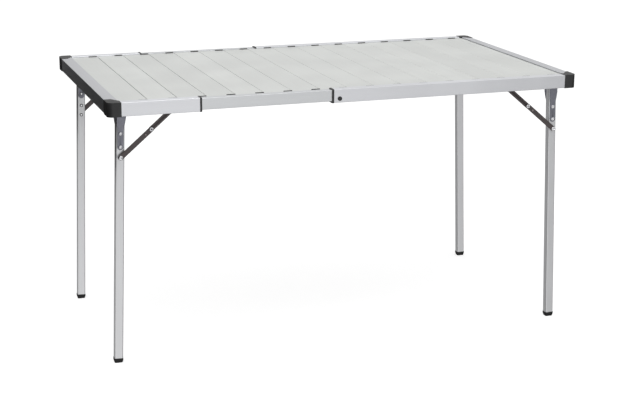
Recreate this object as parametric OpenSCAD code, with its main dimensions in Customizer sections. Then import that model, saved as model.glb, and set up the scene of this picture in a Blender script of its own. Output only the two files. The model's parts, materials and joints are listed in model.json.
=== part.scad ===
// Extending slat-top folding table. Millimetres, +Z up, origin on the floor under the middle of the top.
// The left half of the frame is fixed. The right half slides along two inner rails, four slats lift out
// when it closes, and each leg folds inward under the top on a pin, held open by a two-link brace.

/* [Table] */
// Overall length with the frame drawn out
table_len = 1272; // [1150:1:1540]
// Overall width over the corner pieces
table_wid = 706; // [600:1:860]
// Height of the top
table_h = 700; // [560:1:860]

/* [Rails] */
// Height of the outer rails
rail_h = 34.5; // [32:0.5:42]
// Thickness of the rails' outer walls
rail_wall = 1.6; // [1.2:0.1:2.4]
// Thickness of the rails' top flange
top_wall = 1.2; // [1:0.1:2.4]
// Width of a side rail's top lip
side_lip = 25; // [20:0.5:30]
// Width of the left end rail's top lip
left_lip = 31; // [26:0.5:32]
// Width of the right end rail's top lip
right_lip = 25; // [20:0.5:30]
// How far corner pieces and collars stand proud of the rails
proud = 0.8; // [0.4:0.1:2]
// How far the slats lie below the rails' top
lip_drop = 2.7; // [1:0.1:5]
// How far the side rails' ledge reaches in under the slats
side_ledge = 7; // [5:0.5:12]
// How far the end rails' ledge reaches in under the slats
end_ledge = 8; // [5:0.5:8]
// Thickness of ledges
ledge_t = 2; // [1.5:0.1:3]

/* [Telescope] */
// Length of the fixed side rails from the end face to the collar's mouth
left_rail_len = 235; // [200:1:280]
// Length of inner rail that shows when the frame is drawn out
inner_show = 345.5; // [325:0.5:400]
// Length of inner rail held inside each outer rail
inner_hold = 110; // [60:1:200]
// Length of a collar
collar_len = 5; // [3:0.5:12]
// Running clearance round the inner rail
rail_gap = 0.3; // [0.3:0.05:0.6]
// Extra height that the inner rail gives up at its underside
inner_rise = 2; // [1:0.5:4]

/* [Slats] */
// Distance from slat to slat
slat_pitch = 74.5; // [60:0.5:80]
// Gap between slats
slat_gap = 1.2; // [0.8:0.1:4]
// Thickness of a slat
slat_t = 10; // [8:0.5:12]
// Wall of a hollow slat
slat_wall = 1.2; // [1:0.1:2]
// Number of slats on the fixed half
slats_left = 3; // [2:1:3]
// Number of slats that lift out
slats_mid = 4; // [3:1:4]
// Depth of an end clip over the slat
clip_lap = 1.2; // [1:0.1:3]
// Height of an end clip above the slat
clip_rise = 2.2; // [0.8:0.1:2.4]

/* [Legs] */
// Width of the leg tube along the table
leg_w = 22; // [18:0.5:24]
// Depth of the leg tube across the table
leg_d = 19; // [16:0.5:20]
// Wall of the leg tube
leg_wall = 1.4; // [1:0.1:2]
// Distance from the left end face to the left legs' pins
left_pin_in = 47; // [46:0.5:60]
// Distance from the right end face to the right legs' pins
right_pin_in = 47; // [43:0.5:60]
// Distance from the table's long side to the left legs' outer face
left_inset = 77; // [75.5:0.5:120]
// Distance from the table's long side to the right legs' outer face
right_inset = 43.5; // [43:0.5:45]
// Depth of the leg pins below the top
pin_drop = 30; // [29.5:0.5:38]
// How far the legs lean outward from the vertical when they stand
leg_splay = 2.1; // [0:0.1:4]
// Height of a foot
foot_h = 12; // [8:0.5:30]

/* [Braces] */
// Distance down the leg from its pin to the brace's rivet
brace_down = 124.5; // [120:0.5:160]
// Distance along the table from the leg's pin to the brace's upper pin
brace_along = 141.5; // [138:0.1:180]
// Width of a brace link
link_w = 13; // [9:0.5:14]
// Thickness of a brace link
link_t = 2; // [1.5:0.1:3]
// Radius of the pins and brace rivets
pin_r = 3; // [2.5:0.1:4]

/* [Lock] */
// Distance from the sliding rail's collar to the lock button
button_in = 15.5; // [10:0.5:40]
// Depth of the button's centre below the rail's top
button_drop = 24; // [18:0.5:26]
// Outer radius of the ring round the button
bezel_r = 5.8; // [5:0.1:8]
// Radius of the button
button_r = 4.3; // [3:0.1:5]
// Height of the button above the rail
button_rise = 3.2; // [2.5:0.1:4]

/* [Hidden] */
$fn = 48;

// Sides: -1 is left or front, +1 is right or back
LEFT = -1;
RIGHT = 1;
FRONT = -1;
BACK = 1;

// Frame levels and lengths
rail_top = table_h - proud;
rail_foot = rail_top - rail_h;
end_x = table_len / 2 - proud;
side_y = table_wid / 2 - proud;
slat_top = rail_top - lip_drop;
slat_low = slat_top - slat_t;
ledge_low = slat_low - ledge_t;
left_mouth = -table_len / 2 + left_rail_len;
right_mouth = left_mouth + inner_show;

// Corner pieces
corner_arm_x = 34;
corner_arm_y = 50;
left_toe = 18;
right_toe = 5;
corner_r = 14;
tongue_len = 24;
tongue_gap = 0.2;

// Side rail section, measured inward from the rail's outer face
rail_edge_r = 1.2;

// Inner rail section
inner_out = rail_wall + rail_gap;
inner_in = side_lip - rail_wall - rail_gap;
inner_top = rail_top - top_wall - rail_gap;
inner_foot = rail_foot + rail_wall + rail_gap + inner_rise;
inner_wall = 1.5;
pad_gap = 1.5;
pad_w = 6;
pad_in = side_lip + side_ledge + pad_gap;
arm_drop = 9;

// Slats
end_gap = 0.4;
clip_wall = 1.6;
clip_plug = 10;
slat_end = side_lip + end_gap + clip_wall;
slat_len = 2 * (side_y - slat_end);
field_start = -end_x + left_lip;
field_end = end_x - right_lip;
least_filler = 15;
end_slot = 3;
slats_full = floor((field_end - field_start - least_filler) / slat_pitch);
slats_right_n = slats_full - slats_left - slats_mid;
slat_w = slat_pitch - slat_gap;
filler_w = field_end - field_start - slats_full * slat_pitch;
slat_edge_r = 1.1;

// Leg hinge: local x runs along the table towards its middle, y outward from the leg's outer face
pin_z = table_h - pin_drop;
left_pin_x = table_len / 2 - left_pin_in;
right_pin_x = table_len / 2 - right_pin_in;
head_r = leg_w / 2 + 0.5;
head_flare = leg_w / 2 + 2.8;
head_slim = leg_w / 2 - 1.5;
tongue_w = 16;
head_rivet_1 = 64;
head_rivet_2 = 98;
head_waist = head_rivet_1 - 11;
head_shoulder = head_waist - 12;
plate_t = 2;
rivet_r = 2;
rivet_head_r = 4;
rivet_head_t = 1.2;
layer_gap = 0.3;
fit = 0.05;

// Layers outward from the leg's outer face: the brace's ear, its upper link, then its lower link
ear_t = 2;
brace_ear_y = layer_gap;
upper_y = brace_ear_y + ear_t + layer_gap;
lower_y = upper_y + link_t + layer_gap;
ear_y = plate_t + 2 * layer_gap;
pin_head_t = 1.2;
pin_head_r = pin_r + 2.4;

// Brace links: equal and opposite lengths fold flat along the leg
rivet_x = -brace_down * sin(leg_splay);
rivet_z = -brace_down * cos(leg_splay);
brace_span = norm([brace_along - rivet_x, rivet_z]);
lower_len = (brace_span + brace_along - brace_down) / 2;
upper_len = brace_span - lower_len;
brace_angle = atan2(-rivet_z, brace_along - rivet_x);

// Leg channel, which carries both pins
channel_top = slat_low;
channel_t = 2.2;
channel_out = ear_y + ear_t;
channel_in = leg_d + plate_t + layer_gap + ear_t;
ear_r = 11;
brace_ear_r = 10;
channel_front = brace_along + brace_ear_r;
beam_w = 30;
beam_t = 4;

aluminium = [0.82, 0.83, 0.82];
slat_colour = [0.80, 0.82, 0.80];
plastic = [0.14, 0.14, 0.15];
steel = [0.55, 0.58, 0.62];
dark_steel = [0.22, 0.20, 0.19];
rivet_colour = [0.75, 0.75, 0.76];

// ---- helpers ----

module rounded(w, h, r) {
    translate([r, 0]) square([w - 2 * r, h]);
    translate([0, r]) square([w, h - 2 * r]);
    for (x = [r, w - r], y = [r, h - r]) translate([x, y]) circle(r);
}

// A section drawn as (across, up) run along X from x0 for len
module along_x(x0, len) {
    translate([x0, 0, 0]) rotate([90, 0, 90]) linear_extrude(len) children();
}

// A section drawn as (along, up) run along Y from y0 for len
module along_y(y0, len) {
    translate([0, y0 + len, 0]) rotate([90, 0, 0]) linear_extrude(len) children();
}

module flip_x(on) {
    if (on) mirror([1, 0, 0]) children();
    else children();
}

module flip_y(on) {
    if (on) mirror([0, 1, 0]) children();
    else children();
}

// Front side as drawn, back side mirrored
module on_side(side) {
    flip_y(side == BACK) children();
}

// ---- side rails ----

// The C section shared by outer rails and collars, grown outward by `out`
module rail_shell(out) {
    difference() {
        translate([-out, rail_foot - out])
            rounded(side_lip + out, rail_h + 2 * out, rail_edge_r + out);
        translate([rail_wall, rail_foot + rail_wall])
            square([side_lip - 2 * rail_wall, rail_h - rail_wall - top_wall]);
        translate([side_lip - rail_wall - 1, rail_foot + rail_wall])
            square([rail_wall + 2, ledge_low - rail_foot - rail_wall]);
    }
}

module side_section() {
    rail_shell(0);
    translate([side_lip - rail_wall, ledge_low]) square([rail_wall + side_ledge, ledge_t]);
}

module button_hole() {
    translate([right_mouth + button_in, -1, rail_top - button_drop])
        rotate([-90, 0, 0]) cylinder(r = button_r + 0.3, h = rail_wall + 2);
}

module side_rail(side, end) {
    x0 = end == LEFT ? -table_len / 2 + corner_arm_x : right_mouth;
    x1 = end == LEFT ? left_mouth - collar_len : table_len / 2 - corner_arm_x;
    color(aluminium) on_side(side) translate([0, -side_y, 0]) difference() {
        along_x(x0, x1 - x0) side_section();
        if (end == RIGHT) button_hole();
    }
}

module collar(side, end) {
    x0 = end == LEFT ? left_mouth - collar_len : right_mouth - collar_len;
    color(plastic) on_side(side) translate([0, -side_y, 0]) along_x(x0, collar_len) rail_shell(proud);
}

// The telescoping rail: a box that runs inside both outer rails, and between the collars an arm
// and a pad that carry the slats level with the outer rails' ledges, a running fit below them
module inner_rail(side) {
    hold_l = left_mouth - inner_hold;
    hold_r = right_mouth + inner_hold;
    arm_low = slat_low - arm_drop;
    color(aluminium) on_side(side) translate([0, -side_y, 0]) {
        along_x(hold_l, hold_r - hold_l) difference() {
            translate([inner_out, inner_foot])
                rounded(inner_in - inner_out, inner_top - inner_foot, rail_edge_r);
            translate([inner_out + inner_wall, inner_foot + inner_wall])
                square([inner_in - inner_out - 2 * inner_wall, inner_top - inner_foot - 2 * inner_wall]);
        }
        along_x(left_mouth + rail_gap, hold_r - left_mouth - rail_gap) {
            translate([inner_in - inner_wall, arm_low])
                square([pad_in + pad_w - inner_in + inner_wall, ledge_t]);
            translate([pad_in + pad_w - ledge_t, arm_low]) square([ledge_t, arm_drop - fit]);
            translate([pad_in, slat_low - ledge_t - fit]) square([pad_w, ledge_t]);
        }
    }
}

// ---- end rails and corners ----

function lip_of(end) = end == LEFT ? left_lip : right_lip;

module end_section(end_lip) {
    difference() {
        translate([0, rail_foot]) rounded(end_lip, rail_h, rail_edge_r);
        translate([rail_wall, rail_foot + rail_wall])
            square([end_lip - 2 * rail_wall, rail_h - rail_wall - top_wall]);
    }
}

// Outline of a corner moulding from above, with the table's corner at the origin
module corner_outline(end, arm_x, arm_y) {
    toe = end == LEFT ? left_toe : right_toe;
    polygon([[0, 0], [arm_x, 0], [arm_x, side_lip + proud], [lip_of(end) + proud, side_lip + proud],
        [toe, arm_y], [0, arm_y]]);
}

// The rail runs between the side rails' inner edges, and its ends are cut to the corner mouldings
module end_rail(end) {
    len = 2 * (side_y - side_lip);
    ledge_len = len - 2 * (side_ledge + 1);
    color(aluminium) flip_x(end == RIGHT) {
        difference() {
            translate([-end_x, 0, 0]) along_y(-len / 2, len) end_section(lip_of(end));
            for (side = [FRONT, BACK]) on_side(side)
                translate([-table_len / 2, -table_wid / 2, rail_foot - 1]) linear_extrude(rail_h + 2)
                    corner_outline(end, corner_arm_x, corner_arm_y);
        }
        translate([-end_x, 0, 0]) along_y(-ledge_len / 2, ledge_len)
            translate([lip_of(end) - rail_wall, ledge_low]) square([rail_wall + end_ledge, ledge_t]);
    }
}

// Moulding with a rounded outer edge and a tongue into each rail
module corner(side, end) {
    low = rail_foot - proud;
    end_lip = lip_of(end);
    color(plastic) flip_x(end == RIGHT) on_side(side)
        translate([-table_len / 2, -table_wid / 2, 0]) {
            translate([0, 0, low]) linear_extrude(table_h - low) difference() {
                corner_outline(end, corner_arm_x, corner_arm_y);
                difference() {
                    translate([-1, -1]) square(corner_r + 1);
                    translate([corner_r, corner_r]) circle(corner_r);
                }
            }
            translate([corner_arm_x - 1, proud + rail_wall + tongue_gap, rail_foot + rail_wall + tongue_gap])
                cube([tongue_len + 1, side_lip - 2 * (rail_wall + tongue_gap),
                    rail_h - rail_wall - top_wall - 2 * tongue_gap]);
            translate([proud + rail_wall + tongue_gap, corner_arm_y - 1, rail_foot + rail_wall + tongue_gap])
                cube([end_lip - 2 * (rail_wall + tongue_gap), tongue_len + 1,
                    rail_h - rail_wall - top_wall - 2 * tongue_gap]);
        }
}

// ---- slats ----

// Hollow slat of width w with n chambers
module slat_section(w, n) {
    chamber = (w - (n + 1) * slat_wall) / n;
    difference() {
        translate([0, slat_low]) rounded(w, slat_t, slat_edge_r);
        for (i = [0 : n - 1])
            translate([slat_wall + i * (chamber + slat_wall), slat_low + slat_wall])
                square([chamber, slat_t - 2 * slat_wall]);
    }
}

function slat_x(k) = field_start + k * slat_pitch + slat_gap / 2;

slat_chamber = (slat_w - 4 * slat_wall) / 3;
clip_x = slat_w - slat_wall - slat_chamber;

// Slats with a notch at each end of the top, over the last chamber, where the clip's tab lies
module slats(first, count) {
    color(slat_colour) for (k = [first : first + count - 1]) difference() {
        along_y(-slat_len / 2, slat_len) translate([slat_x(k), 0]) slat_section(slat_w, 3);
        for (side = [FRONT, BACK]) on_side(side)
            translate([slat_x(k) + clip_x, -slat_len / 2 - 1, slat_top - slat_wall - tongue_gap])
                cube([slat_chamber, clip_lap + 1 + tongue_gap, slat_wall + 1]);
    }
}

module filler() {
    color(slat_colour) along_y(-slat_len / 2, slat_len)
        translate([slat_x(slats_full), 0]) slat_section(filler_w - slat_gap / 2 - end_slot, 1);
}

// One clip at each end of a slat: a plug in its last chamber, an end wall and a tab in the top's notch
module clip(k) {
    x0 = slat_x(k) + clip_x;
    for (side = [FRONT, BACK]) on_side(side) translate([0, -side_y + side_lip + end_gap, 0]) {
        along_x(x0 + tongue_gap, slat_chamber - 2 * tongue_gap) union() {
            translate([0, slat_low + slat_wall + tongue_gap])
                square([clip_wall + clip_plug, slat_t - 2 * (slat_wall + tongue_gap)]);
            translate([0, slat_low + slat_wall + tongue_gap])
                square([clip_wall, slat_t - slat_wall - tongue_gap + clip_rise]);
            translate([0, slat_top - slat_wall]) square([clip_wall + clip_lap, slat_wall + clip_rise]);
        }
    }
}

module clips(first, count) {
    color(plastic) for (k = [first : first + count - 1]) clip(k);
}

// ---- under-frame ----

module cross_beam(end) {
    pin_x = end == LEFT ? left_pin_x : right_pin_x;
    len = 2 * (side_y - side_lip - side_ledge);
    color(aluminium) flip_x(end == RIGHT)
        translate([-pin_x + channel_front, -len / 2, channel_top - beam_t]) cube([beam_w, len, beam_t]);
}

// Puts a leg's local frame at its pin
module at_pin(end, side) {
    pin_x = end == LEFT ? left_pin_x : right_pin_x;
    inset = end == LEFT ? left_inset : right_inset;
    translate([end * pin_x, side * (table_wid / 2 - inset), pin_z])
        flip_x(end == RIGHT) flip_y(side == FRONT) children();
}

// A cylinder along local y from y0 to y1, at (x, z)
module post(x, z, y0, y1, r) {
    translate([x, y1, z]) rotate([90, 0, 0]) cylinder(r = r, h = y1 - y0);
}

module ear(x, y0, r) {
    difference() {
        union() {
            post(x, 0, y0, y0 + ear_t, r);
            translate([x - r, y0, 0]) cube([2 * r, ear_t, channel_top - channel_t - pin_z]);
        }
        post(x, 0, y0 - 1, y0 + ear_t + 1, pin_r + fit);
    }
}

module channel(end, side) {
    channel_back = (end == LEFT ? left_pin_in : right_pin_in) - proud - lip_of(end) - end_ledge;
    color(steel) at_pin(end, side) {
        translate([-channel_back, -channel_in, channel_top - channel_t - pin_z])
            cube([channel_back + channel_front, channel_in + channel_out, channel_t]);
        ear(0, ear_y, ear_r);
        ear(0, -channel_in, ear_r);
        ear(brace_along, brace_ear_y, brace_ear_r);
    }
}

module pins(end) {
    color(rivet_colour) for (side = [FRONT, BACK]) at_pin(end, side) {
        post(0, 0, -channel_in - pin_head_t, channel_out, pin_r);
        post(0, 0, channel_out, channel_out + pin_head_t, pin_head_r);
        post(0, 0, -channel_in - pin_head_t, -channel_in, pin_head_r);
        post(brace_along, 0, brace_ear_y, upper_y + link_t, pin_r);
    }
}

// ---- legs ----

tube_top = 8;
leg_reach = pin_z / cos(leg_splay);

// Puts a leg's own parts at its pin, leaning with the leg
module at_leg(end, side) {
    at_pin(end, side) rotate([0, leg_splay, 0]) children();
}

module leg(end, side) {
    len = leg_reach + tube_top - foot_h;
    color(aluminium) at_leg(end, side) difference() {
        translate([-leg_w / 2, -leg_d, tube_top - len]) linear_extrude(len) difference() {
            rounded(leg_w, leg_d, 2.5);
            translate([leg_wall, leg_wall])
                rounded(leg_w - 2 * leg_wall, leg_d - 2 * leg_wall, 2.5 - leg_wall);
        }
        post(0, 0, -leg_d - 1, 1, pin_r + fit);
        post(0, -head_rivet_1, -leg_d - 1, 1, rivet_r + fit);
        post(0, -head_rivet_2, -leg_d - 1, 1, rivet_r + fit);
        post(0, -brace_down, -leg_d - 1, 1, pin_r + fit);
    }
}

// Head plate seen flat, flared on its +x side and ending in a narrow tongue
module plate_outline(tail) {
    circle(head_r);
    polygon([[-head_r, 0], [-head_slim, -14], [-head_slim, -head_shoulder], [-tongue_w / 2, -head_waist],
        [tongue_w / 2, -head_waist], [leg_w / 2, -head_shoulder], [head_flare, -24], [head_flare, -12],
        [head_r, 0]]);
    translate([-tongue_w / 2, -tail]) square([tongue_w, tail - head_waist + 1]);
    translate([0, -tail]) circle(tongue_w / 2);
}

// Two head plates from the same tool, a long one outside the leg and a short one inside, so that
// both flare the same way round
module plate(end, side) {
    turned = end * side == 1;
    color(steel) at_leg(end, side) difference() {
        union() {
            flip_x(!turned) translate([0, plate_t, 0]) rotate([90, 0, 0]) linear_extrude(plate_t)
                plate_outline(head_rivet_2);
            flip_x(turned) translate([0, -leg_d, 0]) rotate([90, 0, 0]) linear_extrude(plate_t)
                plate_outline(head_rivet_1 + 5);
        }
        post(0, 0, -leg_d - plate_t - 1, plate_t + 1, pin_r + fit);
        post(0, -head_rivet_1, -leg_d - plate_t - 1, plate_t + 1, rivet_r + fit);
        post(0, -head_rivet_2, -1, plate_t + 1, rivet_r + fit);
    }
}

// Two plate rivets and the stepped rivet that carries the brace
module rivets(end, side) {
    color(rivet_colour) at_leg(end, side) {
        for (z = [head_rivet_1, head_rivet_2]) {
            inner = -leg_d - (z == head_rivet_1 ? plate_t : 0);
            post(0, -z, inner - rivet_head_t, plate_t + rivet_head_t, rivet_r);
            post(0, -z, plate_t, plate_t + rivet_head_t, rivet_head_r);
            post(0, -z, inner - rivet_head_t, inner, rivet_head_r);
        }
        post(0, -brace_down, -leg_d - rivet_head_t, lower_y + link_t + fit, pin_r);
        post(0, -brace_down, 0, lower_y - fit, pin_head_r);
        post(0, -brace_down, lower_y + link_t + fit, lower_y + link_t + fit + pin_head_t, pin_head_r);
        post(0, -brace_down, -leg_d - rivet_head_t, -leg_d, rivet_head_r);
    }
}

// Plastic foot: a tapered cap below the tube, cut level at the floor, and a plug inside the tube
module foot(end, side) {
    grow = 0.8;
    taper = 2;
    plug = 18;
    spare = 3;
    color(plastic) at_pin(end, side) difference() {
        rotate([0, leg_splay, 0]) translate([0, 0, -leg_reach]) {
            hull() {
                translate([-leg_w / 2 + taper, -leg_d + taper, -spare]) linear_extrude(spare)
                    rounded(leg_w - 2 * taper, leg_d - 2 * taper, 2, $fn = 24);
                translate([-leg_w / 2 - grow, -leg_d - grow, foot_h - 5]) linear_extrude(5)
                    rounded(leg_w + 2 * grow, leg_d + 2 * grow, 3, $fn = 24);
            }
            translate([-leg_w / 2 + leg_wall + 0.3, -leg_d + leg_wall + 0.3, foot_h - 1])
                linear_extrude(plug + 1)
                    rounded(leg_w - 2 * leg_wall - 0.6, leg_d - 2 * leg_wall - 0.6, 1.5, $fn = 24);
        }
        translate([-2 * leg_w, -2 * leg_d, -pin_z - 4 * spare]) cube([4 * leg_w, 3 * leg_d, 4 * spare]);
    }
}

// ---- braces ----

// Flat link lying along +x from its pin hole to its far hole
module link_blank(len, hole_far) {
    translate([0, link_t, 0]) rotate([90, 0, 0]) linear_extrude(link_t) difference() {
        union() {
            circle(link_w / 2);
            translate([0, -link_w / 2]) square([len, link_w]);
            translate([len, 0]) circle(link_w / 2);
        }
        circle(pin_r + fit);
        if (hole_far) translate([len, 0]) circle(pin_r + fit);
    }
}

// Lower link: turns on the leg, and carries the head of the knuckle's rivet
module lower_link(end, side) {
    color(dark_steel) at_pin(end, side) translate([rivet_x, 0, rivet_z]) rotate([0, -brace_angle, 0]) {
        translate([0, lower_y, 0]) link_blank(lower_len, false);
        post(lower_len, 0, lower_y + link_t, lower_y + link_t + pin_head_t, pin_head_r);
    }
}

// Upper link: turns on the channel's ear, and its far hole is the knuckle's
module upper_link(end, side) {
    color(dark_steel) at_pin(end, side) translate([brace_along, upper_y, 0])
        rotate([0, 180 - brace_angle, 0]) link_blank(upper_len, true);
}

// ---- lock ----

module bezels() {
    color(plastic) for (side = [FRONT, BACK]) on_side(side)
        translate([right_mouth + button_in, -side_y, rail_top - button_drop]) rotate([90, 0, 0])
            difference() {
                cylinder(r = bezel_r, h = button_rise / 2);
                translate([0, 0, -1]) cylinder(r = button_r + 0.3, h = button_rise / 2 + 2);
            }
}

module lock_button(side) {
    color(plastic) on_side(side)
        translate([right_mouth + button_in, -side_y + 0.2, rail_top - button_drop]) rotate([90, 0, 0])
            cylinder(r = button_r, h = button_rise + 0.2);
}

end_rail(LEFT);  // left_end_rail
side_rail(FRONT, LEFT);  // left_rail_front
side_rail(BACK, LEFT);  // left_rail_back
inner_rail(FRONT);  // inner_rail_front
inner_rail(BACK);  // inner_rail_back
corner(FRONT, LEFT);  // left_corner_front
corner(BACK, LEFT);  // left_corner_back
collar(FRONT, LEFT);  // left_collar_front
collar(BACK, LEFT);  // left_collar_back
cross_beam(LEFT);  // left_cross_beam
channel(LEFT, FRONT);  // left_channel_front
channel(LEFT, BACK);  // left_channel_back
pins(LEFT);  // left_pins
end_rail(RIGHT);  // right_end_rail
side_rail(FRONT, RIGHT);  // right_rail_front
side_rail(BACK, RIGHT);  // right_rail_back
corner(FRONT, RIGHT);  // right_corner_front
corner(BACK, RIGHT);  // right_corner_back
collar(FRONT, RIGHT);  // right_collar_front
collar(BACK, RIGHT);  // right_collar_back
cross_beam(RIGHT);  // right_cross_beam
channel(RIGHT, FRONT);  // right_channel_front
channel(RIGHT, BACK);  // right_channel_back
pins(RIGHT);  // right_pins
bezels();  // lock_bezels
lock_button(FRONT);  // lock_button_front
lock_button(BACK);  // lock_button_back
slats(0, slats_left);
slats(slats_left, slats_mid);  // slats_middle
slats(slats_left + slats_mid, slats_right_n);  // slats_right
filler();  // filler_slat
clips(0, slats_left);  // clips_left
clips(slats_left, slats_mid);  // clips_middle
clips(slats_left + slats_mid, slats_right_n);  // clips_right
leg(LEFT, FRONT);  // leg_left_front
leg(LEFT, BACK);  // leg_left_back
leg(RIGHT, FRONT);  // leg_right_front
leg(RIGHT, BACK);  // leg_right_back
plate(LEFT, FRONT);  // plate_left_front
plate(LEFT, BACK);  // plate_left_back
plate(RIGHT, FRONT);  // plate_right_front
plate(RIGHT, BACK);  // plate_right_back
rivets(LEFT, FRONT);  // rivets_left_front
rivets(LEFT, BACK);  // rivets_left_back
rivets(RIGHT, FRONT);  // rivets_right_front
rivets(RIGHT, BACK);  // rivets_right_back
foot(LEFT, FRONT);  // foot_left_front
foot(LEFT, BACK);  // foot_left_back
foot(RIGHT, FRONT);  // foot_right_front
foot(RIGHT, BACK);  // foot_right_back
lower_link(LEFT, FRONT);  // lower_link_left_front
lower_link(LEFT, BACK);  // lower_link_left_back
lower_link(RIGHT, FRONT);  // lower_link_right_front
lower_link(RIGHT, BACK);  // lower_link_right_back
upper_link(LEFT, FRONT);  // upper_link_left_front
upper_link(LEFT, BACK);  // upper_link_left_back
upper_link(RIGHT, FRONT);  // upper_link_right_front
upper_link(RIGHT, BACK);  // upper_link_right_back
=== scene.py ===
"""Extending slat-top folding table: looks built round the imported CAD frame. Metres, +Z up."""

import json
import math

import bmesh
import bpy
from mathutils import Matrix, Vector


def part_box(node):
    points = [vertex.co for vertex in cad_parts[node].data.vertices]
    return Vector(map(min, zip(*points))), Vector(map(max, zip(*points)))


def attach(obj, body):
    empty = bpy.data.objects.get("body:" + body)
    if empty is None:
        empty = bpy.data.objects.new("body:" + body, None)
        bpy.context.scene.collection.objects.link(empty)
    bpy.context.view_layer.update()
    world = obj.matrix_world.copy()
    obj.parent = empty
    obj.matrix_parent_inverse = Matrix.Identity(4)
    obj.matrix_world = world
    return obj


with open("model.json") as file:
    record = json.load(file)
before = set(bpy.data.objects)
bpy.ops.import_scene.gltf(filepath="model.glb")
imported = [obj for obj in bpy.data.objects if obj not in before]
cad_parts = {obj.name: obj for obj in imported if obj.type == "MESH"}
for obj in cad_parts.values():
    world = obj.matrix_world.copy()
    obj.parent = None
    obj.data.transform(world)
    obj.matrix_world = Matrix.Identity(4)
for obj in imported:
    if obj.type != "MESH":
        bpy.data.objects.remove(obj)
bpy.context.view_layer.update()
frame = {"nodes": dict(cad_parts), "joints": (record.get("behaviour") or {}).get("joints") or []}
NODES = frame["nodes"]
JOINTS = {j["name"]: j for j in frame["joints"]}
ENDS = ("left", "right")
SIDES = ("front", "back")
LEGS = [(end, side) for end in ENDS for side in SIDES]


# ---------------------------------------------------------------- node helpers


class Graph:
    """A material's node tree with short calls for the nodes used here."""

    def __init__(self, name):
        self.mat = bpy.data.materials.new(name)
        self.mat.use_nodes = True
        self.tree = self.mat.node_tree
        self.bsdf = self.tree.nodes["Principled BSDF"]
        self.coords = self.node("ShaderNodeTexCoord").outputs["Object"]

    def node(self, kind, **props):
        n = self.tree.nodes.new(kind)
        for key, value in props.items():
            setattr(n, key, value)
        return n

    def put(self, value, socket):
        if isinstance(value, bpy.types.NodeSocket):
            self.tree.links.new(value, socket)
        else:
            socket.default_value = value

    def scaled(self, scale, source=None, rotation=(0, 0, 0)):
        n = self.node("ShaderNodeMapping")
        n.inputs["Scale"].default_value = scale
        n.inputs["Rotation"].default_value = rotation
        self.put(source or self.coords, n.inputs["Vector"])
        return n.outputs["Vector"]

    def noise(self, vector, scale, detail=2.0, rough=0.5):
        n = self.node("ShaderNodeTexNoise")
        self.put(vector, n.inputs["Vector"])
        n.inputs["Scale"].default_value = scale
        n.inputs["Detail"].default_value = detail
        n.inputs["Roughness"].default_value = rough
        return n.outputs["Fac"]

    def voronoi(self, vector, scale):
        n = self.node("ShaderNodeTexVoronoi")
        self.put(vector, n.inputs["Vector"])
        n.inputs["Scale"].default_value = scale
        return n.outputs["Color"]

    def spread(self, value, low, high, start=0.3, end=0.7):
        n = self.node("ShaderNodeMapRange", interpolation_type="SMOOTHSTEP")
        self.put(value, n.inputs["Value"])
        for key, number in (("From Min", start), ("From Max", end), ("To Min", low), ("To Max", high)):
            n.inputs[key].default_value = number
        return n.outputs["Result"]

    def math(self, op, a, b=0.0):
        n = self.node("ShaderNodeMath", operation=op)
        self.put(a, n.inputs[0])
        self.put(b, n.inputs[1])
        return n.outputs[0]

    def mix(self, fac, a, b):
        n = self.node("ShaderNodeMix", data_type="RGBA")
        self.put(fac, n.inputs[0])
        for value, socket in ((a, n.inputs[6]), (b, n.inputs[7])):
            self.put((*value, 1) if isinstance(value, tuple) else value, socket)
        return n.outputs[2]

    def bump(self, height, strength, distance, normal=None):
        n = self.node("ShaderNodeBump")
        n.inputs["Strength"].default_value = strength
        n.inputs["Distance"].default_value = distance
        self.put(height, n.inputs["Height"])
        if normal is not None:
            self.put(normal, n.inputs["Normal"])
        return n.outputs["Normal"]

    def finish(self, **sockets):
        for key, value in sockets.items():
            self.put(value, self.bsdf.inputs[key.replace("_", " ")])
        return self.mat


def shade(colour, factor):
    return tuple(min(1.0, c * factor) for c in colour)


def aluminium(name, along, colour, rough=0.36, metal=0.9, cells=0.0):
    """Satin anodised extrusion: die lines along one axis, a faint cloud, small handling marks."""
    g = Graph(name)
    stretch = [1.0, 1.0, 1.0]
    stretch["XYZ".index(along)] = 0.006
    lines = g.noise(g.scaled(stretch), 900.0, 3.0, 0.6)
    broad = g.noise(g.scaled(stretch), 60.0, 2.0, 0.5)
    cloud = g.noise(g.coords, 7.0, 3.0, 0.55)
    marks = g.noise(g.coords, 260.0, 4.0, 0.7)
    tone = g.mix(g.spread(cloud, 0.0, 1.0), shade(colour, 0.965), shade(colour, 1.02))
    tone = g.mix(g.spread(lines, 0.0, 0.35), tone, shade(colour, 0.93))
    tone = g.mix(g.spread(broad, 0.0, 0.25, 0.35, 0.75), tone, shade(colour, 1.05))
    if cells:
        step = g.node("ShaderNodeSeparateXYZ")
        g.put(g.coords, step.inputs[0])
        from_start = g.math("SUBTRACT", step.outputs[0], CELL_START)
        index = g.math("FLOOR", g.math("DIVIDE", from_start, CELL_PITCH))
        dice = g.node("ShaderNodeTexWhiteNoise", noise_dimensions="1D")
        g.put(index, dice.inputs["W"])
        tone = g.mix(g.spread(dice.outputs["Value"], 0.0, cells, 0.0, 1.0), tone, shade(colour, 0.88))
    roughness = g.math("ADD", g.spread(cloud, rough - 0.03, rough + 0.05), g.spread(lines, -0.02, 0.05))
    height = g.bump(lines, 0.12, 0.0001)
    height = g.bump(marks, 0.05, 0.00008, height)
    return g.finish(Base_Color=tone, Metallic=metal, Roughness=roughness, Normal=height)


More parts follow.
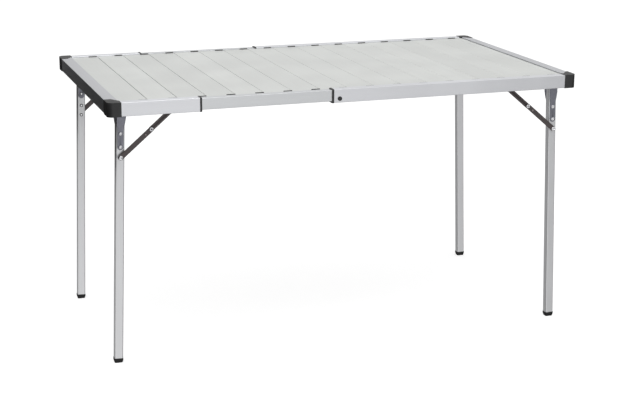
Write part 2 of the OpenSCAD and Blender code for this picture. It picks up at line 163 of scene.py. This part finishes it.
def plastic(name, colour, rough=0.5, grain=1600.0):
    """Moulded plastic: fine spark texture, uneven gloss, edges rubbed a little paler."""
    g = Graph(name)
    fine = g.noise(g.coords, grain, 2.0, 0.6)
    cloud = g.noise(g.coords, 45.0, 3.0, 0.6)
    rub = g.noise(g.coords, 320.0, 4.0, 0.7)
    edge = g.spread(g.node("ShaderNodeNewGeometry").outputs["Pointiness"], 0.0, 0.5, 0.52, 0.62)
    tone = g.mix(g.spread(cloud, 0.0, 1.0), shade(colour, 0.85), shade(colour, 1.15))
    tone = g.mix(g.math("MULTIPLY", edge, g.spread(rub, 0.2, 1.0)), tone, shade(colour, 2.2))
    roughness = g.math("ADD", g.spread(cloud, rough - 0.05, rough + 0.06), g.spread(fine, -0.03, 0.05))
    height = g.bump(fine, 0.22, 0.00012)
    height = g.bump(cloud, 0.05, 0.0004, height)
    return g.finish(Base_Color=tone, Roughness=roughness, Normal=height)


def steel(name, colour, rough, metal=1.0, spangle=0.3, scale=260.0, tint=None):
    """Plated or coated sheet steel: mottled plating and fine scratches."""
    g = Graph(name)
    grey = g.node("ShaderNodeRGBToBW")
    g.put(g.voronoi(g.coords, scale), grey.inputs[0])
    cloud = g.noise(g.coords, 60.0, 4.0, 0.6)
    scratch = g.noise(g.scaled((1.0, 1.0, 0.08), rotation=(0.1, 0.6, 0.2)), 1400.0, 2.0, 0.5)
    tone = g.mix(g.spread(grey.outputs[0], 0.0, spangle), colour, shade(colour, 0.7))
    tone = g.mix(g.spread(cloud, 0.0, 0.6), tone, tint or shade(colour, 1.15))
    tone = g.mix(g.spread(scratch, 0.0, 0.18, 0.55, 0.8), tone, shade(colour, 1.6))
    roughness = g.math("ADD", g.spread(cloud, rough - 0.06, rough + 0.08), g.spread(scratch, -0.02, 0.05))
    height = g.bump(scratch, 0.1, 0.00006)
    height = g.bump(cloud, 0.08, 0.0002, height)
    return g.finish(Base_Color=tone, Metallic=metal, Roughness=roughness, Normal=height)


# ---------------------------------------------------------------- materials on the CAD nodes

# Where the slats begin and how far apart they are, for the shade that differs from slat to slat
CELL_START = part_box("slats_left")[0].x
LEFT_SLATS = 3
CELL_PITCH = (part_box("slats_middle")[0].x - CELL_START) / LEFT_SLATS

RAIL = (0.86, 0.87, 0.90)
INNER = (0.76, 0.775, 0.79)
SLAT = (0.86, 0.875, 0.855)
LEG = (0.80, 0.805, 0.82)
BLACK = (0.025, 0.025, 0.026)
ZINC = (0.29, 0.295, 0.335)
RIVET = (0.86, 0.86, 0.89)
BRACE = (0.115, 0.100, 0.100)

rail_x = aluminium("rail_aluminium", "X", RAIL)
# The end rails take the rail aluminium painted darker: painted shade
end_rail_painted_shade = aluminium("end_rail_aluminium_painted_shade", "Y", shade(RAIL, 0.80))
inner_x = aluminium("inner_rail_aluminium", "X", INNER, rough=0.33)
slat_y = aluminium("slat_aluminium", "Y", SLAT, rough=0.42, cells=0.35)
leg_z = aluminium("leg_aluminium", "Z", LEG, rough=0.38)
beam_y = aluminium("beam_aluminium", "Y", INNER, rough=0.42)
black = plastic("black_plastic", BLACK)
foot_black = plastic("foot_plastic", shade(BLACK, 0.25), rough=0.6, grain=900.0)
zinc = steel("zinc_steel", ZINC, 0.42, tint=(0.27, 0.27, 0.32))
rivet_metal = steel("rivet_steel", RIVET, 0.18, spangle=0.12, scale=700.0)
# The rivet tails take the rivet steel painted darker: painted shade round the tails
tail_painted_shade = steel("rivet_tail_steel_painted_shade", shade(RIVET, 0.40), 0.4, spangle=0.2, scale=500.0)
brace_metal = steel("dark_steel", BRACE, 0.44, metal=0.75, spangle=0.25, scale=420.0)
# A paler copy of the dark steel for the brace's dimple: a painted highlight
brace_painted_highlight = steel("dark_steel_painted_highlight", shade(BRACE, 2.6), 0.36, metal=0.85, spangle=0.2, scale=420.0)

FINISH = [
    ("slats_", slat_y), ("filler_slat", slat_y), ("clips_", black), ("inner_rail", inner_x),
    ("left_end_rail", end_rail_painted_shade), ("right_end_rail", end_rail_painted_shade), ("left_rail", rail_x), ("right_rail", rail_x),
    ("left_cross_beam", beam_y), ("right_cross_beam", beam_y),
    ("left_corner", black), ("right_corner", black), ("left_collar", black), ("right_collar", black),
    ("left_channel", zinc), ("right_channel", zinc), ("left_pins", rivet_metal), ("right_pins", rivet_metal),
    ("lock_", black), ("leg_", leg_z), ("plate_", zinc), ("rivets_", rivet_metal), ("foot_", foot_black),
    ("lower_link", brace_metal), ("upper_link", brace_metal),
]

# Edge rounding added to square-edged CAD pieces, in metres
ROUNDING = [
    ("left_corner", 0.0016), ("right_corner", 0.0016), ("left_collar", 0.0004), ("right_collar", 0.0004),
    ("plate_", 0.0005), ("rivets_", 0.0005), ("left_pins", 0.0005), ("right_pins", 0.0005),
    ("lower_link", 0.0004), ("upper_link", 0.0004), ("foot_", 0.0006), ("lock_", 0.0006),
    ("left_channel", 0.0004), ("right_channel", 0.0004), ("left_cross", 0.0004), ("right_cross", 0.0004),
    ("clips_", 0.0004),
]


def lookup(table, name):
    """The value of the first row whose first item begins the name."""
    return next((value for start, value in table if name.startswith(start)), None)


def round_edges(o, width, angle=0.6):
    """Rounds the edges sharper than the angle, in radians."""
    weld = o.modifiers.new("weld", "WELD")
    weld.merge_threshold = 1e-6
    bevel = o.modifiers.new("round", "BEVEL")
    bevel.width = width
    bevel.segments = 3
    bevel.limit_method = "ANGLE"
    bevel.angle_limit = angle
    bevel.harden_normals = True


for name, o in NODES.items():
    material = lookup(FINISH, name)
    o.data.materials.clear()
    o.data.materials.append(material)
    width = lookup(ROUNDING, name)
    if width:
        round_edges(o, width)


# ---------------------------------------------------------------- added detail

# Sizes repeated from part.scad, in metres
SPLAY = math.radians(2.1)
LEG_D = 0.019
PLATE_T = 0.002
RIVET_1 = 0.064
RIVET_2 = 0.098
LINK_T = 0.002
LOWER_Y = 0.0049

# Added heads, in metres: how far a head reaches into the metal, how far its rim stands off, and its
# radius and height
SINK = 0.0004
LIFT = 0.0002
BRACE_LIFT = 0.0003
PLATE_HEAD = (0.0050, 0.0026)
BRACE_HEAD = (0.0060, 0.0028)
KNUCKLE_HEAD = (0.0058, 0.0028)
TAIL_HEAD = (0.0046, 0.0020)
TAIL_HOLLOW = 0.7
# The brace's dimple: how far it lies from the knuckle, and its profile
DIMPLE_BACK = 0.0195
DIMPLE = [(0, -SINK), (0.0034, -SINK), (0.0034, 0.0001), (0.0030, 0.0009), (0.0018, 0.0015), (0, 0.0017)]


def lathe(bm, frame_matrix, profile, steps=32):
    """Turns a profile of (radius, height) round the matrix's z axis."""
    rings = []
    for radius, height in profile:
        count = steps if radius else 1
        ring = []
        for i in range(count):
            a = 2 * math.pi * i / steps
            point = Vector((radius * math.cos(a), radius * math.sin(a), height))
            ring.append(bm.verts.new(frame_matrix @ point))
        rings.append(ring)
    for low, high in zip(rings, rings[1:]):
        for i in range(steps):
            j = (i + 1) % steps
            if len(low) == 1:
                bm.faces.new((low[0], high[i], high[j])[::-1])
            elif len(high) == 1:
                bm.faces.new((low[i], low[j], high[0]))
            else:
                bm.faces.new((low[i], low[j], high[j], high[i]))


def finish_mesh(name, bm, material, body):
    bmesh.ops.recalc_face_normals(bm, faces=bm.faces)
    mesh = bpy.data.meshes.new(name)
    bm.to_mesh(mesh)
    bm.free()
    for polygon in mesh.polygons:
        polygon.use_smooth = True
    mesh.set_sharp_from_angle(angle=math.radians(50))
    mesh.materials.append(material)
    o = bpy.data.objects.new(name, mesh)
    bpy.context.scene.collection.objects.link(o)
    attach(o, body)
    return o


def dome(radius, height, dimple=0.58):
    """Rivet head with a straight rim, a rolled edge and a cupped hollow."""
    rim = 0.35
    arc = 6
    hollow = radius * dimple
    points = [(0, -SINK), (radius, -SINK), (radius, height * rim)]
    for i in range(1, arc + 1):
        a = math.pi / 2 * i / arc
        points.append((hollow + (radius - hollow) * math.cos(a), height * (rim + (1 - rim) * math.sin(a))))
    points += [(hollow * 0.9, height * 0.9), (hollow * 0.75, height * 0.55), (hollow * 0.45, height * 0.32)]
    return points + [(0, height * 0.25)]


def joint_place(name):
    return Vector(JOINTS[name]["pos_m"])


def leg_matrix(end, side):
    """The leg's own frame: x towards the table's middle, y outward, z up along the leg."""
    pin = joint_place(f"leg_fold_{end}_{side}")
    inward = 1 if end == "left" else -1
    outward = 1 if side == "back" else -1
    basis = Matrix(((inward, 0, 0), (0, outward, 0), (0, 0, 1)))
    return Matrix.Translation(pin) @ basis.to_4x4() @ Matrix.Rotation(SPLAY, 4, "Y")


def facing(point, outward=True):
    """Matrix with z along local y (outward) or against it (inward), at a point."""
    turn = Matrix.Rotation(math.radians(-90 if outward else 90), 4, "X")
    return Matrix.Translation(Vector(point)) @ turn


for end, side in LEGS:
    key = f"{end}_{side}"
    local = leg_matrix(end, side)
    bm = bmesh.new()
    for z in (RIVET_1, RIVET_2):
        lathe(bm, local @ facing((0, PLATE_T + LIFT, -z)), dome(*PLATE_HEAD))
    pin = joint_place(f"leg_fold_{key}")
    pivot = joint_place(f"lower_link_turn_{key}")
    upper = joint_place(f"upper_link_turn_{key}")
    down = (pivot - pin).length
    lathe(bm, local @ facing((0, LOWER_Y + LINK_T + BRACE_LIFT, -down)), dome(*BRACE_HEAD))
    finish_mesh(f"rivet_heads_{key}", bm, rivet_metal, f"leg_{key}")
    bm = bmesh.new()
    for depth, z in ((LEG_D + PLATE_T, RIVET_1), (LEG_D, RIVET_2), (LEG_D, down)):
        lathe(bm, local @ facing((0, -depth - LIFT, -z), False), dome(*TAIL_HEAD, TAIL_HOLLOW))
    # The tails are drawn in the darker rivet steel, which is painted shade
    finish_mesh(f"rivet_tails_{key}", bm, tail_painted_shade, f"leg_{key}")

    # The lower link's length, worked out from the pins as in part.scad
    span = (upper - pivot).length
    along = (upper - pin).length
    lower_len = (span + along - down) / 2
    way = (upper - pivot).normalized()
    outward = Vector((0, 1 if side == "back" else -1, 0))
    across = way.cross(outward)
    link = Matrix((way, across, outward)).transposed().to_4x4()
    face = outward * (LOWER_Y + LINK_T)
    bm = bmesh.new()
    knuckle = Matrix.Translation(pivot + way * lower_len + face + outward * LIFT) @ link
    lathe(bm, knuckle, dome(*KNUCKLE_HEAD))
    finish_mesh(f"knuckle_rivet_{key}", bm, rivet_metal, f"lower_link_{key}")
    bm = bmesh.new()
    # The dimple is drawn in the paler dark steel, which is a painted highlight
    spot = Matrix.Translation(pivot + way * (lower_len - DIMPLE_BACK) + face) @ link
    lathe(bm, spot, DIMPLE)
    finish_mesh(f"brace_dimple_{key}", bm, brace_painted_highlight, f"lower_link_{key}")


# ---------------------------------------------------------------- stage, light and camera

FLOOR_SIZE = 60.0
FLOOR_GLOW = 0.70
FLAG_AT = (-0.72, 0, 0.705)
FLAG_HEIGHT, FLAG_WIDTH = 0.47, 1.6


def square_sheet(name, size):
    """A flat square for the stage."""
    bm = bmesh.new()
    bmesh.ops.create_grid(bm, x_segments=1, y_segments=1, size=size / 2)
    mesh = bpy.data.meshes.new(name)
    bm.to_mesh(mesh)
    bm.free()
    sheet = bpy.data.objects.new(name, mesh)
    bpy.context.scene.collection.objects.link(sheet)
    return sheet


floor = square_sheet("floor", FLOOR_SIZE)
floor.visible_glossy = False
floor.visible_diffuse = False

# A dark studio flag off the left end, which neither the camera nor diffuse light sees
flag = square_sheet("flag", 1.0)
upright = Matrix.Rotation(math.pi / 2, 4, "Y") @ Matrix.Diagonal((FLAG_HEIGHT, FLAG_WIDTH, 1, 1))
flag.matrix_world = Matrix.Translation(FLAG_AT) @ upright
flag.visible_camera = False
flag.visible_diffuse = False
g = Graph("flag_black")
g.finish(Base_Color=g.mix(g.noise(g.coords, 5.0), (0.02, 0.02, 0.02), (0.025, 0.025, 0.025)), Roughness=1.0)
flag.data.materials.append(g.mat)

g = Graph("floor_white")
mottle = g.noise(g.coords, 3.0, 3.0, 0.5)
g.finish(Base_Color=g.mix(mottle, (0.5, 0.5, 0.5), (0.52, 0.52, 0.52)), Roughness=1.0)
g.bsdf.inputs["Specular IOR Level"].default_value = 0.0
g.bsdf.inputs["Emission Color"].default_value = (1, 1, 1, 1)
g.bsdf.inputs["Emission Strength"].default_value = FLOOR_GLOW
floor.data.materials.append(g.mat)


def build_world():
    """White to the camera. To everything else a soft studio: bright above and in front, half as bright
    low behind on the left, and dim elsewhere."""
    world = bpy.data.worlds.new("studio")
    bpy.context.scene.world = world
    world.use_nodes = True
    tree = world.node_tree
    tree.nodes.clear()

    def node(kind, **props):
        n = tree.nodes.new(kind)
        for key, value in props.items():
            setattr(n, key, value)
        return n

    def link(value, socket):
        if isinstance(value, (int, float)):
            socket.default_value = value
        else:
            tree.links.new(value, socket)

    def calc(op, a, b=0.0):
        n = node("ShaderNodeMath", operation=op)
        link(a, n.inputs[0])
        link(b, n.inputs[1])
        return n.outputs[0]

    def ramp(value, start, end, low, high):
        n = node("ShaderNodeMapRange", interpolation_type="SMOOTHSTEP")
        link(value, n.inputs["Value"])
        for key, number in (("From Min", start), ("From Max", end), ("To Min", low), ("To Max", high)):
            n.inputs[key].default_value = number
        return n.outputs["Result"]

    split = node("ShaderNodeSeparateXYZ")
    tree.links.new(node("ShaderNodeTexCoord").outputs["Generated"], split.inputs[0])
    x, y, z = split.outputs
    sky = ramp(z, -0.10, 0.22, 0.0, SKY)
    front = calc("MULTIPLY", ramp(y, -0.15, -0.75, 0.0, FRONT), ramp(x, 0.30, 0.56, 1.0, FRONT_FADE))
    behind = calc("MULTIPLY", ramp(y, 0.25, 0.75, 0.0, BEHIND), ramp(x, 0.05, -0.25, 0.0, 1.0))
    lit = calc("MAXIMUM", calc("MAXIMUM", sky, front), behind)
    level = calc("ADD", lit, BASE)
    shade_node = node("ShaderNodeBackground")
    link(level, shade_node.inputs["Strength"])
    white = node("ShaderNodeBackground")
    white.inputs["Color"].default_value = (1, 1, 1, 1)
    white.inputs["Strength"].default_value = BACKDROP
    pick = node("ShaderNodeMixShader")
    tree.links.new(node("ShaderNodeLightPath").outputs["Is Camera Ray"], pick.inputs[0])
    tree.links.new(shade_node.outputs[0], pick.inputs[1])
    tree.links.new(white.outputs[0], pick.inputs[2])
    tree.links.new(pick.outputs[0], node("ShaderNodeOutputWorld").inputs["Surface"])


BACKDROP = 1.05
SKY = 0.88
FRONT = 1.06
FRONT_FADE = 0.36
BEHIND = 0.45
BASE = 0.05
build_world()


def area_light(name, place, target, size, watts, colour=(1, 1, 1)):
    data = bpy.data.lights.new(name, "AREA")
    data.shape = "RECTANGLE"
    data.size, data.size_y = size
    data.energy = watts
    data.color = colour
    o = bpy.data.objects.new(name, data)
    o.location = place
    o.rotation_mode = "QUATERNION"
    o.rotation_quaternion = (Vector(target) - Vector(place)).to_track_quat("-Z", "Y")
    o.visible_camera = False
    bpy.context.scene.collection.objects.link(o)
    return o


area_light("overhead_softbox", (-0.8, -1.2, 3.4), (0, 0, 0.6), (3.0, 2.2), 45)

# Camera: place in metres, yaw to the right of +Y, pitch down, roll, all in degrees
CAMERA_AT = (-1.295, -3.774, 1.410)
YAW, PITCH, ROLL = 19.37, 15.38, 0.33
LENS = 82.07
yaw, pitch, roll = (math.radians(a) for a in (YAW, PITCH, ROLL))
look = Vector((math.sin(yaw) * math.cos(pitch), math.cos(yaw) * math.cos(pitch), -math.sin(pitch)))
right = Vector((math.cos(yaw), -math.sin(yaw), 0))
up = right.cross(look)
turned_right = right * math.cos(roll) + up * math.sin(roll)
turned_up = up * math.cos(roll) - right * math.sin(roll)
data = bpy.data.cameras.new("camera")
data.lens = LENS
data.sensor_width = 36.0
data.clip_end = 200.0
camera = bpy.data.objects.new("camera", data)
camera.matrix_world = Matrix.Translation(Vector(CAMERA_AT)) @ Matrix(
    (turned_right, turned_up, -look)
).transposed().to_4x4()
bpy.context.scene.collection.objects.link(camera)
bpy.context.scene.camera = camera
bpy.context.scene.view_settings.view_transform = "Standard"
bpy.context.scene.view_settings.look = "None"

bpy.context.view_layer.update()
